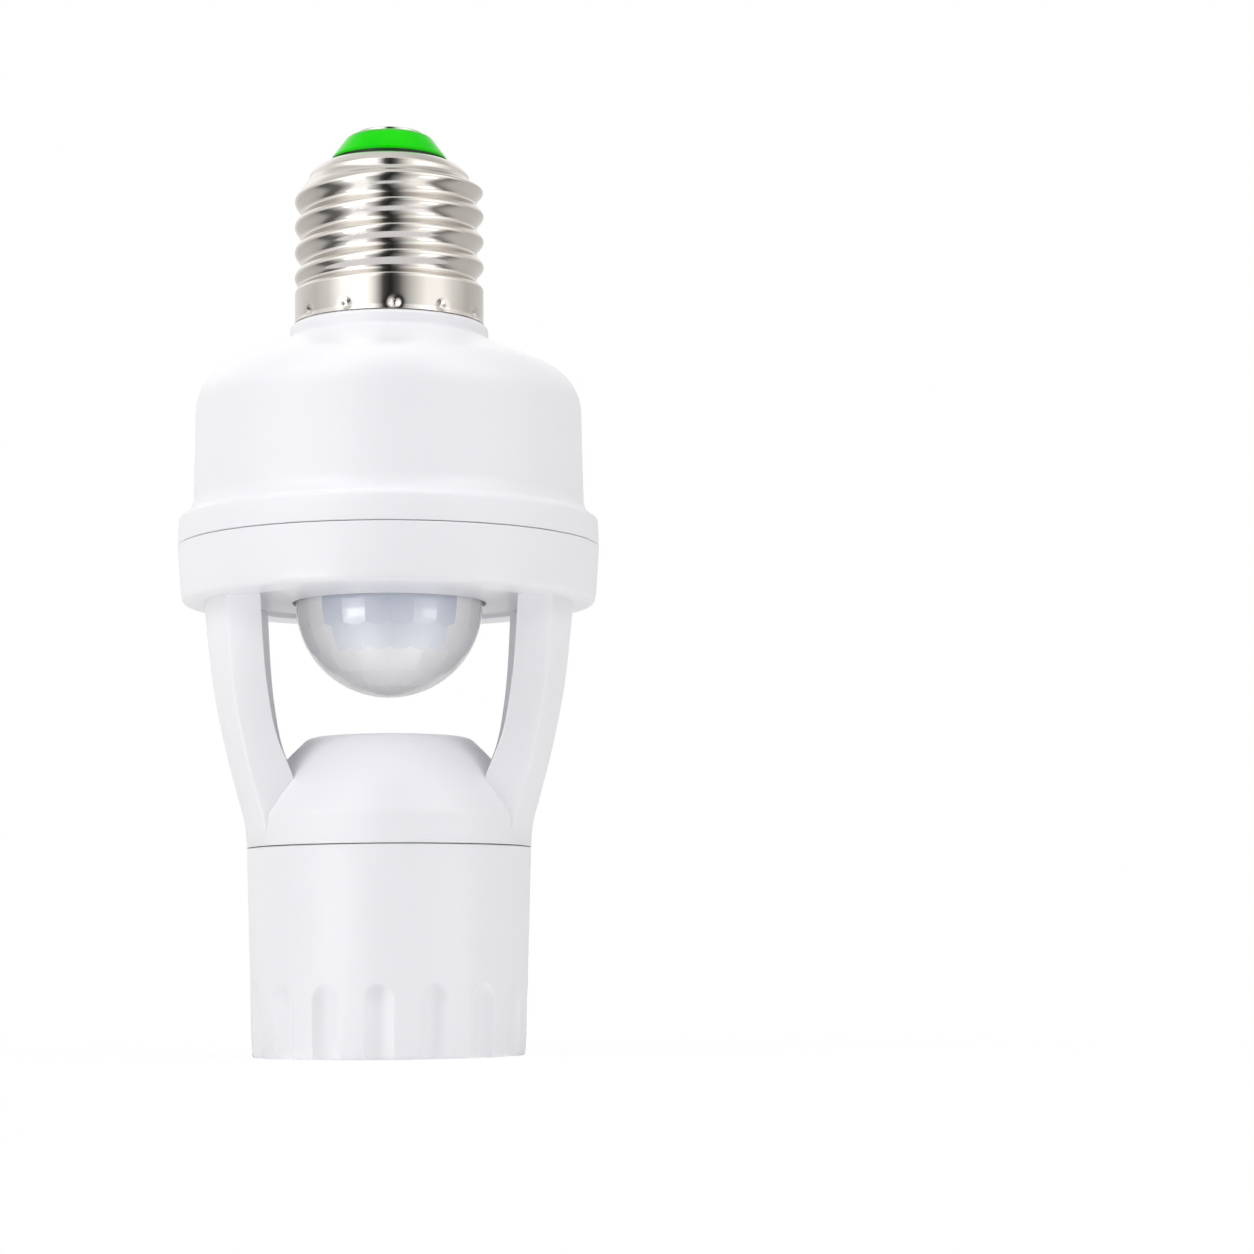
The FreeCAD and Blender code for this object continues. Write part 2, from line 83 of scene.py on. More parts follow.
camera_data = bpy.data.cameras.new("camera")
camera_data.lens = CAMERA_LENS
camera_data.sensor_width = 36
camera_data.clip_start = 0.01
camera_data.clip_end = 50
camera = bpy.data.objects.new("camera", camera_data)
bpy.context.scene.collection.objects.link(camera)
turn = Matrix.Rotation(-CAMERA_YAW, 4, "Z")
tip = Matrix.Rotation(math.pi / 2 + CAMERA_PITCH, 4, "X")
roll = Matrix.Rotation(CAMERA_ROLL, 4, "Z")
stand = Matrix.Translation((0, -CAMERA_DISTANCE, CAMERA_HEIGHT))
camera.matrix_world = stand @ turn @ tip @ roll
bpy.context.scene.camera = camera
bpy.context.scene.view_settings.view_transform = "Standard"
print("camera at", [round(v, 4) for v in camera.matrix_world.translation])

# %% [markdown]
# Most parts are round, so most of them are lathed: an outline is spun about the Z axis.
# An outline is a row of corners, each with its own rounding, as on a drawing. Small roundings
# matter more than anything else for the look, because every moulded edge catches the light.

# %% Outline and lathe helpers
ARC_STEPS = 6
DOUBLES = 1e-7


def rounded(*corners):
    """Points along an outline of corners given as radius, height and size of rounding."""
    points = []
    for i, (r, z, size) in enumerate(corners):
        here = Vector((r, z))
        if size == 0 or i in (0, len(corners) - 1):
            points.append(here)
            continue
        back = Vector(corners[i - 1][:2]) - here
        ahead = Vector(corners[i + 1][:2]) - here
        setback = min(size, 0.49 * back.length, 0.49 * ahead.length)
        start = here + back.normalized() * setback
        end = here + ahead.normalized() * setback
        for k in range(ARC_STEPS + 1):
            t = k / ARC_STEPS
            points.append(start * (1 - t) ** 2 + here * (2 * t * (1 - t)) + end * t ** 2)
    return points


def lathe(points, segments=144, closed=True):
    """Mesh of an outline spun about Z. A closed outline makes a ring with a thick wall."""
    bm = bmesh.new()
    verts = [bm.verts.new((p[0] * MM, 0, p[1] * MM)) for p in points]
    pairs = list(zip(verts, verts[1:]))
    if closed:
        pairs.append((verts[-1], verts[0]))
    edges = [bm.edges.new(pair) for pair in pairs]
    bmesh.ops.spin(bm, geom=verts + edges, cent=(0, 0, 0), axis=(0, 0, 1), dvec=(0, 0, 0),
                   angle=2 * math.pi, steps=segments, use_merge=True)
    bmesh.ops.remove_doubles(bm, verts=bm.verts, dist=DOUBLES)
    bmesh.ops.recalc_face_normals(bm, faces=bm.faces)
    return bm


# %% [markdown]
# A piece made of several meshes is joined first. Then it becomes an object: it is shaded smooth
# but for its creases, gets its material, rides on its body, and hides the solids that it
# replaces.

# %% Piece helpers
def join(bm, other):
    """Adds the faces of another mesh to this one."""
    carrier = bpy.data.meshes.new("carrier")
    other.to_mesh(carrier)
    other.free()
    bm.from_mesh(carrier)
    bpy.data.meshes.remove(carrier)


def add_piece(name, bm, material, replaced=(), crease=32, body="holder"):
    """Makes an object of a mesh, smooth but for its creases, and rides it on its body."""
    mesh = bpy.data.meshes.new(name)
    bm.to_mesh(mesh)
    bm.free()
    mesh.shade_smooth()
    mesh.set_sharp_from_angle(angle=math.radians(crease))
    mesh.materials.append(material)
    obj = bpy.data.objects.new(name, mesh)
    bpy.context.scene.collection.objects.link(obj)
    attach(obj, body)
    if replaced:
        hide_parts(*replaced)
    print(name, "has", len(mesh.polygons), "faces")
    return obj


def soft_step(x):
    """Smooth rise from 0 to 1 as x goes from 0 to 1."""
    x = max(0.0, min(1.0, x))
    return x * x * (3 - 2 * x)


def widen(vert, factor):
    """Moves a point straight away from the Z axis, or towards it for a factor below 1."""
    vert.co.x *= factor
    vert.co.y *= factor


# %% [markdown]
# Materials are built from nodes. Three small helpers each add one node and link it, for
# arithmetic, for a change of range, and for a blend of two shaders. They serve the world too,
# so they take the owner of the nodes.

# %% Node helpers
def calc(owner, operation, first, second=0.0):
    """Math node on two sockets or plain numbers."""
    node = owner.node_tree.nodes.new("ShaderNodeMath")
    node.operation = operation
    for socket, value in zip(node.inputs, (first, second)):
        if isinstance(value, bpy.types.NodeSocket):
            owner.node_tree.links.new(value, socket)
        else:
            socket.default_value = value
    return node.outputs[0]


def ranged(owner, value, start, end, low_end=0.0, high_end=1.0):
    """Map Range node: from start to end, the result goes from one limit to the other."""
    node = owner.node_tree.nodes.new("ShaderNodeMapRange")
    limits = {"From Min": start, "From Max": end, "To Min": low_end, "To Max": high_end}
    for name, limit in limits.items():
        node.inputs[name].default_value = limit
    owner.node_tree.links.new(value, node.inputs["Value"])
    return node.outputs["Result"]


def blend(owner, share, first, second):
    """Mix Shader node: the share says how much of the second shader takes over."""
    node = owner.node_tree.nodes.new("ShaderNodeMixShader")
    for socket, source in zip(node.inputs, (share, first, second)):
        owner.node_tree.links.new(source, socket)
    return node.outputs["Shader"]


# %% [markdown]
# Every finish shares a Principled shader, an Object coordinate, and one fine noise that varies
# the roughness and gives a faint bump, because no real surface is perfectly even. A second, slow
# noise lets the colour drift. Each finish then has its own short function.

# %% Material helpers
GRAIN_HEIGHT = 0.02 * MM


def shader(name, colour, roughness, grain, bump, unevenness=0.04):
    """Principled material with uneven roughness and a fine bump in Object coordinates."""
    material = bpy.data.materials.new(name)
    material.use_nodes = True
    nodes = material.node_tree.nodes
    links = material.node_tree.links
    main = nodes["Principled BSDF"]
    main.inputs["Base Color"].default_value = (*colour, 1)
    place = nodes.new("ShaderNodeTexCoord")
    noise = nodes.new("ShaderNodeTexNoise")
    noise.inputs["Scale"].default_value = grain
    noise.inputs["Detail"].default_value = 3
    links.new(place.outputs["Object"], noise.inputs["Vector"])
    spread = ranged(material, noise.outputs["Fac"], 0.0, 1.0,
                    roughness - unevenness, roughness + unevenness)
    links.new(spread, main.inputs["Roughness"])
    relief = nodes.new("ShaderNodeBump")
    relief.inputs["Strength"].default_value = bump
    relief.inputs["Distance"].default_value = GRAIN_HEIGHT
    links.new(noise.outputs["Fac"], relief.inputs["Height"])
    links.new(relief.outputs["Normal"], main.inputs["Normal"])
    return material, main


def tint(material, main, dark, light, scale):
    """Lets the colour drift slowly between two near shades."""
    nodes = material.node_tree.nodes
    links = material.node_tree.links
    place = nodes.new("ShaderNodeTexCoord")
    cloud = nodes.new("ShaderNodeTexNoise")
    cloud.inputs["Scale"].default_value = scale
    links.new(place.outputs["Object"], cloud.inputs["Vector"])
    ramp = nodes.new("ShaderNodeValToRGB")
    ramp.color_ramp.elements[0].color = (*dark, 1)
    ramp.color_ramp.elements[0].position = 0.3
    ramp.color_ramp.elements[1].color = (*light, 1)
    ramp.color_ramp.elements[1].position = 0.7
    links.new(cloud.outputs["Fac"], ramp.inputs["Fac"])
    links.new(ramp.outputs["Color"], main.inputs["Base Color"])


# %% [markdown]
# The housing is white moulded plastic with a soft gloss. A pure white has no shading left, so
# its colour is a cool white of about 0.9, with a very slow drift and a fine orange-peel bump.

# %% Housing plastic
def housing_plastic():
    material, main = shader("white_housing", (0.88, 0.88, 0.905), 0.3, grain=700, bump=0.05)
    tint(material, main, (0.87, 0.87, 0.895), (0.89, 0.89, 0.915), 30)
    main.inputs["IOR"].default_value = 1.5
    main.inputs["Subsurface Weight"].default_value = 0.08
    main.inputs["Subsurface Radius"].default_value = (1, 0.9, 0.85)
    main.inputs["Subsurface Scale"].default_value = 0.0012
    return material


HOUSING = housing_plastic()
print("made", HOUSING.name)

# %% [markdown]
# The screw cap and the socket's shell are thin sheet with bright nickel plating. Nickel is a
# little warmer than steel. Plating is never quite even, so the slow noise clouds its colour
# between two near greys, and the fine one makes the reflections waver slightly.

# %% Nickel plating
def nickel_plating():
    material, main = shader("nickel_plating", (0.66, 0.64, 0.61), 0.11, grain=260,
                            unevenness=0.03, bump=0.03)
    tint(material, main, (0.63, 0.6, 0.565), (0.7, 0.68, 0.655), 90)
    main.inputs["Metallic"].default_value = 1.0
    return material


NICKEL = nickel_plating()
print("made", NICKEL.name)

# %% [markdown]
# The bead that insulates the end contact is bright green, like a drop of coloured resin. White
# light mirrored in it would wash out so strong a colour, so its specular level is low. The light
# that its base scatters carries the green.

# %% Green bead
def green_bead():
    material, main = shader("green_bead", (0.005, 0.66, 0.001), 0.12, grain=400, bump=0.02)
    tint(material, main, (0.002, 0.61, 0.0005), (0.014, 0.7, 0.002), 120)
    main.inputs["Specular IOR Level"].default_value = 0.06
    return material


GREEN = green_bead()
print("made", GREEN.name)

# %% [markdown]
# The dome is a thin sheet of polyethylene that lets heat rays through. It looks milky, and it
# is divided into rows of small lens cells. The cells are laid out with arithmetic on the
# Object coordinates: the slope below the rim gives the row, the turn round the dome gives the
# column, and lower rows have wider cells. The border of a row sags a little in each cell.

# %% Layout of the lens cells
DOME = 12.9
DOME_CENTRE = 61.9
ROW_SLOPE = 16.0
CELL_TURN = 15.0
CELL_TURN_MORE = 5.0
CELL_SAG = 0.5
# Turn and rows of the zone of painted shade, a blue that stands in for the dark inside seen
# through the sheet.
SHADE_BLUE_TURN = 45.0
SHADE_BLUE_ROWS = 1.5


def lens_cells(material):
    """Sockets for the cells: column, row, side, depth below the rim, zone of painted shade and
    pillow.
    """
    nodes = material.node_tree.nodes
    place = nodes.new("ShaderNodeTexCoord")
    axes = nodes.new("ShaderNodeSeparateXYZ")
    material.node_tree.links.new(place.outputs["Object"], axes.inputs["Vector"])
    x, y, z = axes.outputs
    drop = calc(material, "DIVIDE", calc(material, "SUBTRACT", DOME_CENTRE * MM, z), DOME * MM)
    slope = calc(material, "ARCSINE", calc(material, "MINIMUM", drop, 1.0))
    turn = calc(material, "MULTIPLY", 180 / math.pi,
                calc(material, "ARCTAN2", x, calc(material, "ABSOLUTE", y)))
    narrow = calc(material, "FRACT", calc(material, "DIVIDE", turn, CELL_TURN))
    bulge = calc(material, "MULTIPLY", narrow, calc(material, "SUBTRACT", 1.0, narrow))
    depth = calc(material, "MULTIPLY", slope, 180 / math.pi / ROW_SLOPE)
    sag = calc(material, "MULTIPLY", bulge, CELL_SAG)
    level = calc(material, "MAXIMUM", 0.0, calc(material, "SUBTRACT", depth, sag))
    row = calc(material, "FLOOR", level)
    width = calc(material, "ADD", CELL_TURN, calc(material, "MULTIPLY", row, CELL_TURN_MORE))
    column = calc(material, "DIVIDE", turn, width)
    number = calc(material, "FLOOR", column)
    middle = calc(material, "MULTIPLY", calc(material, "ADD", number, 0.5), width)
    # Painted shade: the upper cells towards the front and the back form the zone that gets the
    # blue.
    near = calc(material, "LESS_THAN", calc(material, "ABSOLUTE", middle), SHADE_BLUE_TURN)
    painted_shade_zone = calc(material, "MULTIPLY", near,
                     calc(material, "LESS_THAN", row, SHADE_BLUE_ROWS))
    across = calc(material, "SUBTRACT", calc(material, "FRACT", column), 0.5)
    along = calc(material, "SUBTRACT", calc(material, "FRACT", level), 0.5)
    pillow = calc(material, "ADD", calc(material, "MULTIPLY", across, across),
                  calc(material, "MULTIPLY", along, along))
    return number, row, calc(material, "SIGN", y), depth, painted_shade_zone, pillow


# %% [markdown]
# Each cell gets its own shade and a slight pillow. The upper cells towards the two openings
# between the arms are painted a cool blue that fades downwards. This is painted shade: it stands
# in for the dark inside of the dome seen through the sheet. All others are milky white.
# A clear coat gives the smooth outside its sharp highlights, over the soft light of the sheet.

# %% Milky lens sheet
MILK = (0.97, 0.97, 0.975, 1)
# Blue of the painted shade, darker at the rim and paler lower down, and how fast it fades.
SHADE_BLUE_ABOVE = (0.57, 0.61, 0.705, 1)
SHADE_BLUE_BELOW = (0.88, 0.915, 0.97, 1)
SHADE_BLUE_FADE = 0.5
SHADE_LEAST = 0.96


def lens_sheet():
    material, main = shader("milky_lens", (0.8, 0.8, 0.81), 0.2, grain=500, bump=0.03)
    nodes = material.node_tree.nodes
    links = material.node_tree.links
    number, row, side, depth, painted_shade_zone, pillow = lens_cells(material)
    cell = nodes.new("ShaderNodeCombineXYZ")
    for socket, value in zip(cell.inputs, (number, row, side)):
        links.new(value, socket)
    chance = nodes.new("ShaderNodeTexWhiteNoise")
    links.new(cell.outputs["Vector"], chance.inputs["Vector"])
    shade = ranged(material, chance.outputs["Value"], 0.0, 1.0, SHADE_LEAST, 1.0)
    # Painted shade: the blue of the dark inside, fading downwards, replaces the milky colour in
    # its zone.
    blue = nodes.new("ShaderNodeMix")
    blue.data_type = "RGBA"
    blue.inputs["A"].default_value = SHADE_BLUE_ABOVE
    blue.inputs["B"].default_value = SHADE_BLUE_BELOW
    links.new(calc(material, "MULTIPLY", depth, SHADE_BLUE_FADE), blue.inputs["Factor"])
    zone = nodes.new("ShaderNodeMix")
    zone.data_type = "RGBA"
    zone.inputs["A"].default_value = MILK
    links.new(painted_shade_zone, zone.inputs["Factor"])
    links.new(blue.outputs["Result"], zone.inputs["B"])
    varied = nodes.new("ShaderNodeMix")
    varied.data_type = "RGBA"
    varied.blend_type = "MULTIPLY"
    varied.inputs["Factor"].default_value = 1
    links.new(zone.outputs["Result"], varied.inputs["A"])
    links.new(shade, varied.inputs["B"])
    links.new(varied.outputs["Result"], main.inputs["Base Color"])

    relief = nodes.new("ShaderNodeBump")
    relief.inputs["Strength"].default_value = 0.6
    relief.inputs["Distance"].default_value = 0.0006
    links.new(pillow, relief.inputs["Height"])
    links.new(main.inputs["Normal"].links[0].from_socket, relief.inputs["Normal"])
    links.new(relief.outputs["Normal"], main.inputs["Normal"])
    main.inputs["Subsurface Weight"].default_value = 0.25
    main.inputs["Subsurface Radius"].default_value = (1, 1, 1)
    main.inputs["Subsurface Scale"].default_value = 0.0003
    main.inputs["Coat Weight"].default_value = 1.0
    main.inputs["Coat Roughness"].default_value = 0.05
    return material


LENS = lens_sheet()
print("made", LENS.name)

# %% [markdown]
# The inner parts need simple finishes: brass for springs, white plastic for the liner, a green
# board, dark sleeves and so on. One function makes them all, and a table gives each slot of the
# solid model its finish.

# %% Finishes of the inner parts
def plain_finish(name, dark, light, roughness, metallic=0.0, grain=600.0, coat=0.0):
    """Finish of an inner part: two near shades, its own gloss and a fine grain."""
    material, main = shader(name, light, roughness, grain=grain, bump=0.05)
    tint(material, main, dark, light, grain / 6)
    main.inputs["Metallic"].default_value = metallic
    main.inputs["Coat Weight"].default_value = coat
    return material


SLOT_FINISH = {
    "liner": plain_finish("white_liner", (0.8, 0.8, 0.79), (0.84, 0.84, 0.83), 0.42),
    "can": plain_finish("sensor_can", (0.6, 0.6, 0.62), (0.7, 0.7, 0.72), 0.25, metallic=1),
    "window": plain_finish("sensor_window", (0.03, 0.03, 0.05), (0.05, 0.05, 0.08), 0.1),
    "cell": plain_finish("light_cell", (0.55, 0.42, 0.3), (0.75, 0.62, 0.48), 0.5),
    "board": plain_finish("board", (0.03, 0.14, 0.06), (0.04, 0.19, 0.08), 0.35, coat=0.4),
    "film": plain_finish("film_capacitor", (0.5, 0.2, 0.03), (0.62, 0.28, 0.05), 0.3),
    "sleeve": plain_finish("capacitor_sleeve", (0.02, 0.022, 0.03), (0.04, 0.045, 0.06), 0.25),
    "relay": plain_finish("relay_case", (0.03, 0.08, 0.25), (0.05, 0.11, 0.32), 0.3),
    "chip": plain_finish("moulded_black", (0.012, 0.012, 0.013), (0.025, 0.025, 0.026), 0.55),
    "resistor": plain_finish("resistor_coat", (0.5, 0.4, 0.24), (0.6, 0.5, 0.32), 0.4),
    "line_insulation": plain_finish("black_wire", (0.015, 0.015, 0.015), (0.03, 0.03, 0.03), 0.4),
    "neutral_insulation": plain_finish("white_wire", (0.74, 0.74, 0.72), (0.8, 0.8, 0.78), 0.4),
    "terminal": plain_finish("spring_brass", (0.62, 0.42, 0.16), (0.75, 0.54, 0.24), 0.28,
                             metallic=1, grain=300),
    "screw": plain_finish("zinc_screw", (0.5, 0.5, 0.52), (0.64, 0.64, 0.66), 0.32, metallic=1),
    "housing": HOUSING,
    "nickel": NICKEL,
    "bead": GREEN,
    "lens": LENS,
}
print("finishes for", len(SLOT_FINISH), "slots")

# %% [markdown]
# Every solid of the frame gets the finish of its own slot. Most of them are hidden inside, and
# some show through the dome or from below. Those that the camera sees well are modelled again
# in the next steps and then hide their solid.

# %% Finishes on the solids
for part in frame["record"]["subparts"]:
    solid = frame["nodes"][part["node"]]
    for place in solid.material_slots:
        place.material = SLOT_FINISH[part["material_slot"]]

# %% [markdown]
# A lamp thread is rolled into thin sheet, so crest and root are both round and the sheet is
# equally thick all over. The cap is lathed from a dense outline, and then each point moves
# in or out by a wave that climbs one pitch per turn. Fading the wave in and out at the ends
# makes the thread run out into the plain skirt and the shoulder, as the roller leaves it.

# %% Thread helper
PITCH = 3.629
THREAD_DEPTH = 1.0


def thread_wave(point, crest_height):
    """1 on a crest of the thread and 0 in its root, for a point in millimetres."""
    angle = math.atan2(point.y, point.x)
    turn = (point.z - crest_height) / PITCH - (angle + math.pi / 2) / (2 * math.pi)
    return 0.5 + 0.5 * math.cos(2 * math.pi * turn)


def height_steps(start, end, step):
    """Heights from start to end, in even steps of about the given size."""
    count = max(1, round(abs(end - start) / step))
    return [start + (end - start) * k / count for k in range(count + 1)]


# %% [markdown]
# Below the thread the cap has a plain skirt that flares out by a hair at its edge, and twelve
# crimps that a tool pressed in to hold the cap on the bell. A crimp is a small round dent, so
# it is made as one: a smooth dip in the radius that fades out with distance.

# %% Outline of the screw cap
CAP_CREST = 13.2
CAP_SHEET = 0.3
SKIRT = 13.15
SHOULDER = 11.25
FRONT_CREST = 108.5
CAP_LOW = low("cap_shell")
THREAD_START = (105.3, 107.0)
THREAD_END = (119.9, 121.7)
FLARE = 0.14
FLARE_HEIGHT = 0.6
CRIMPS = 12
CRIMP_FIRST = math.radians(3 - 90)
CRIMP_HEIGHT = 101.75
CRIMP_SIZE = 0.62
CRIMP_DEPTH = 0.42


def cap_radius(point):
    """Outer radius of the cap where the thread, the skirt and the crimps shape it."""
    z = point.z
    rise = soft_step((z - THREAD_START[0]) / (THREAD_START[1] - THREAD_START[0]))
    fall = soft_step((z - THREAD_END[0]) / (THREAD_END[1] - THREAD_END[0]))
    thread = CAP_CREST - THREAD_DEPTH * (1 - thread_wave(point, FRONT_CREST))
    radius = SKIRT * (1 - rise) + thread * rise
    radius = radius * (1 - fall) + SHOULDER * fall
    flare = FLARE * (1 - soft_step((z - CAP_LOW) / FLARE_HEIGHT))
    angle = math.atan2(point.y, point.x) - CRIMP_FIRST
    step = 2 * math.pi / CRIMPS
    off = (angle + step / 2) % step - step / 2
    away = ((off * SKIRT) ** 2 + (z - CRIMP_HEIGHT) ** 2) / CRIMP_SIZE ** 2
    return radius + flare - CRIMP_DEPTH * math.exp(-away)


# %% [markdown]
# The wall needs many level rows, because the thread bends it. The turned-in top is plain, so
# only the points below the brow are moved. The wall's inner side follows its outer side.

# %% Screw cap
BROW = THREAD_END[1]
HOLE = 8.2
HOLE_HEIGHT = 124.2
WALL_STEP = 0.165


def screw_cap():
    """Threaded wall and turned-in top of the cap, with the wall's inner side."""
    heights = height_steps(CAP_LOW, BROW, WALL_STEP)
    outer = [Vector((SKIRT, z)) for z in heights]
    top = rounded((SHOULDER, BROW, 0), (SHOULDER - 0.1, 122.25, 0.5), (10.1, 123.35, 1.0),
                  (HOLE, HOLE_HEIGHT, 0.15), (HOLE - 0.05, HOLE_HEIGHT - 0.25, 0.1),
                  (9.9, 122.95, 0.8), (SHOULDER - 0.45, 121.95, 0.4), (SHOULDER - 0.3, BROW, 0))
    inner = [Vector((SKIRT - CAP_SHEET, z)) for z in reversed(heights)]
    bm = lathe(outer + top[1:-1] + inner, segments=264)
    for vert in bm.verts:
        point = vert.co / MM
        if point.z > BROW + 1e-4:
            continue
        flat = math.hypot(point.x, point.y)
        inside = flat < SKIRT - CAP_SHEET / 2
        radius = cap_radius(point) - (CAP_SHEET if inside else 0)
        widen(vert, radius / flat)
    return add_piece("screw_cap", bm, NICKEL, ["cap_shell"], crease=50)


screw_cap()

# %% [markdown]
# One wire is welded to the inside of the cap. In the solid model the thread is a stack of
# rings. Here it is a helix, whose sheet lies a little further in at the wire, so the wire's
# end is drawn back to stay inside the cap.

# %% Wire in the cap
WIRE_REACH = 11.8


def cap_wire():
    """The wire that is welded inside the cap, shortened so that it ends inside the thread."""
    solid = frame["nodes"]["neutral_wire"]
    bm = bmesh.new()
    bm.from_mesh(solid.data)
    bm.transform(solid.matrix_world)
    for vert in bm.verts:
        vert.co.x = min(vert.co.x, WIRE_REACH * MM)
    return add_piece("cap_wire", bm, SLOT_FINISH["neutral_insulation"],
                     ["neutral_wire"])


cap_wire()

# %% [markdown]
# The bead closes the top of the cap, and the end contact is a low disc on the bead. A thin black
# ring under the foot of the bead is painted shade: it stands in for the dark gap between the bead
# and the sheet. All three are plain lathed forms with small roundings, because a sharp edge would
# catch no light.

# %% Bead and end contact
def insulating_bead():
    outline = rounded((1.3, 121.0, 0), (6.5, 121.0, 0.2), (8.6, 122.0, 0.2), (8.6, 123.2, 0),
                      (7.6, 123.6, 0.1), (7.6, 124.2, 0.1), (8.1, 124.4, 0.12),
                      (8.1, 124.8, 0.3), (7.6, 125.5, 0.5), (5.95, 127.75, 0.55),
                      (5.1, 128.0, 0.2), (1.3, 128.0, 0))
    return add_piece("insulating_bead", lathe(outline), GREEN, ["cap_insulator"])


def bead_shadow_ring():
    """Thin black ring, painted shade that shows as a dark line in the gap between the bead and
    the sheet.
    """
    outline = rounded((7.7, 124.0, 0), (8.28, 124.1, 0.1), (8.34, 124.42, 0.1), (7.7, 124.5, 0))
    return add_piece("bead_shadow_ring", lathe(outline), SLOT_FINISH["chip"])


def end_contact():
    outline = rounded((0, 119.5, 0), (1.3, 119.5, 0.1), (1.3, 128.0, 0), (4.85, 128.0, 0),
                      (4.85, 128.4, 0.25), (3.2, 128.45, 0.4), (2.2, 128.25, 0.4),
                      (0, 128.25, 0))
    return add_piece("end_contact", lathe(outline, closed=False), NICKEL,
                     ["cap_tip_contact"])


insulating_bead()
bead_shadow_ring()
end_contact()

# %% [markdown]
# The bell is one moulding. Its outline was read from the photograph: a short collar, a long
# soft shoulder, a wall that widens by a hair towards the bottom, and a flange with a rounded
# brow. A tiny rounding at the lower edge makes the seam against the ring look like a real one.

# %% Bell
SEAM = 69.7


def bell():
    outline = rounded(
        (9.6, 112.0, 0), (11.5, 112.0, 0.3), (11.5, 106.6, 0.5), (12.75, 105.0, 0.5),
        (12.75, 100.7, 0.1), (13.45, 100.7, 0.1), (13.8, 100.35, 0.25), (13.8, 98.75, 0.4),
        (16.9, 97.1, 2.2), (24.4, 93.9, 3.2), (26.7, 90.6, 2.6), (26.78, 85.3, 2.5),
        (26.98, 75.6, 1.2), (27.7, 74.0, 0.6), (28.95, 73.6, 0.75), (29.05, SEAM + 0.06, 0.16),
        (28.7, SEAM, 0.05), (26.8, SEAM, 0.1), (26.8, 67.0, 0.3),
        (24.8, 67.0, 0.3), (24.7, 90.0, 3.0), (15.5, 95.6, 2.5), (9.6, 98.5, 2.0))
    return add_piece("bell", lathe(outline, segments=192), HOUSING,
                     ["bell_housing"])


bell()

# %% [markdown]
# The yoke is one moulding too: a ring that closes the bell, a floor with the hole for the dome,
# two arms, and a hollow cone over the socket. The ring and the cone are lathed. A gap as wide as
# a hair is left between ring and bell, so the seam shows as a fine line.

# %% Ring and sensor floor
RING_LOW = 61.85
CEILING = 62.6
FLOOR_TOP = 64.6
LENS_HOLE = 13.35


def ring():
    outline = rounded(
        (26.85, SEAM - 0.06, 0), (28.75, SEAM - 0.06, 0.05), (29.08, SEAM - 0.12, 0.16),
        (28.62, 63.3, 1.0), (28.35, RING_LOW, 1.0), (22.25, RING_LOW, 0.2),
        (22.2, CEILING, 0.3), (14.6, RING_LOW + 0.25, 1.0), (LENS_HOLE, RING_LOW + 0.1, 0.15),
        (LENS_HOLE, FLOOR_TOP, 0.2), (26.85, FLOOR_TOP, 0.1))
    return lathe(outline, segments=192)


# %% [markdown]
# An arm is a piece of a curved wall about 4 mm thick. On its way down it bends inwards and gets
# narrower. It starts as a fine grid with a front and a back. A smooth curve through a few
# measured radii gives each point its place, and the long edges then get a small bevel.

# %% Measures of the arms
ARM_FOOT = 28.35
ARM_TOP = CEILING + 0.6
ARM_BEVEL = 0.34
SHARP = math.radians(50)
STEEP = 0.3
ARM_OUTER = ((25.5, ARM_TOP), (24.94, 57.0), (24.25, 51.2), (23.3, 45.9), (22.06, 40.4),
             (20.6, 34.9), (19.7, 31.4), (19.43, ARM_FOOT))
ARM_INNER = ((21.95, ARM_TOP), (20.95, 54.2), (19.96, 48.7), (18.66, 43.1), (16.6, 37.6),
             (15.8, 34.0), (15.6, ARM_FOOT))
ARM_OUTER_HALF = ((12.95, ARM_TOP), (12.15, 54.2), (11.5, 48.7), (11.0, 43.1), (10.4, 34.9),
                  (10.2, ARM_FOOT))
ARM_INNER_HALF = ((13.7, ARM_TOP), (12.75, 54.2), (11.9, 48.7), (11.2, 43.1), (10.4, 34.9),
                  (10.2, ARM_FOOT))


def on_curve(table, z):
    """Value of a smooth curve through a short table of values and heights, at one height."""
    rows = sorted((height, value) for value, height in table)
    z = max(rows[0][0], min(rows[-1][0], z))
    k = 0
    while k < len(rows) - 2 and rows[k + 1][0] < z:
        k += 1
    before = rows[max(k - 1, 0)]
    start, end = rows[k], rows[k + 1]
    after = rows[min(k + 2, len(rows) - 1)]
    span = end[0] - start[0]
    t = (z - start[0]) / span
    slope_a = (end[1] - before[1]) / (end[0] - before[0]) * span
    slope_b = (after[1] - start[1]) / (after[0] - start[0]) * span
    return ((2 * t ** 3 - 3 * t ** 2 + 1) * start[1] + (t ** 3 - 2 * t ** 2 + t) * slope_a
            + (3 * t ** 2 - 2 * t ** 3) * end[1] + (t ** 3 - t ** 2) * slope_b)


